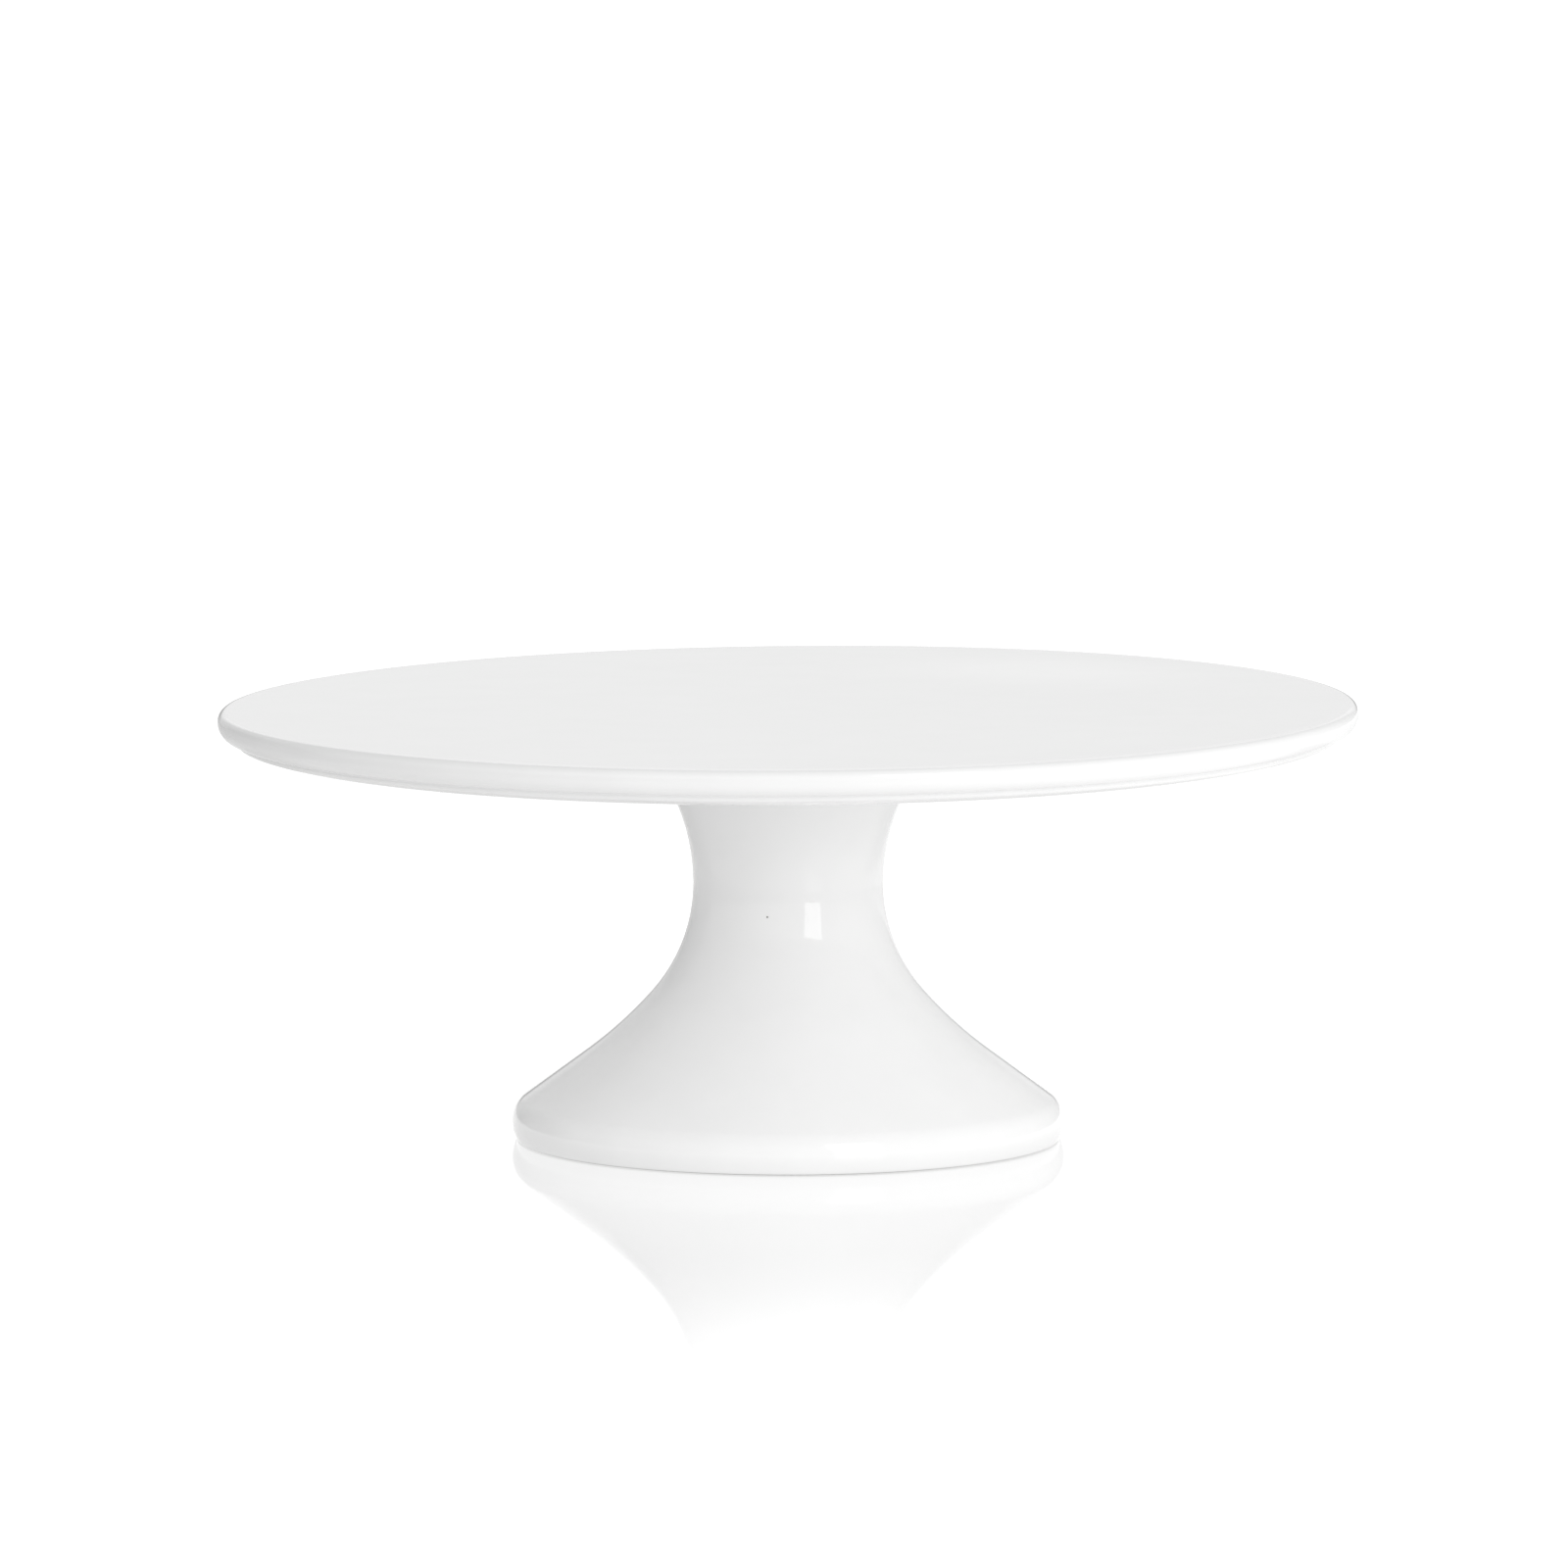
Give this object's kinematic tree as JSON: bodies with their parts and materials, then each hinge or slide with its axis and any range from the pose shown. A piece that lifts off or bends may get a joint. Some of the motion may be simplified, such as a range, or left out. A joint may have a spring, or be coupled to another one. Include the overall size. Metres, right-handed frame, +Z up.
{
  "type": "pedestal cake stand",
  "caption": "Round flat glazed porcelain cake plate with a beaded edge, bolted to a hollow waisted trumpet pedestal, for serving cakes.",
  "frame": {"origin": "on the stand's axis, at the table it stands on", "axes": "+Z up along the axis of revolution; +X and +Y are level and equivalent, with the wing nut's wings along X"},
  "size_m": [0.302, 0.302, 0.115],
  "materials": {
    "porcelain_glaze": "gloss",
    "silicone": "matte",
    "steel": "satin",
    "cement": "matte"
  },
  "bodies": {
    "root": {"cake_plate": "porcelain_glaze", "pedestal": "porcelain_glaze", "joint_gasket": "silicone", "threaded_stud": "steel", "stud_cement": "cement", "cushion_washer": "silicone", "steel_washer": "steel", "lock_washer": "steel", "wing_nut": "steel"}
  },
  "joints": []
}
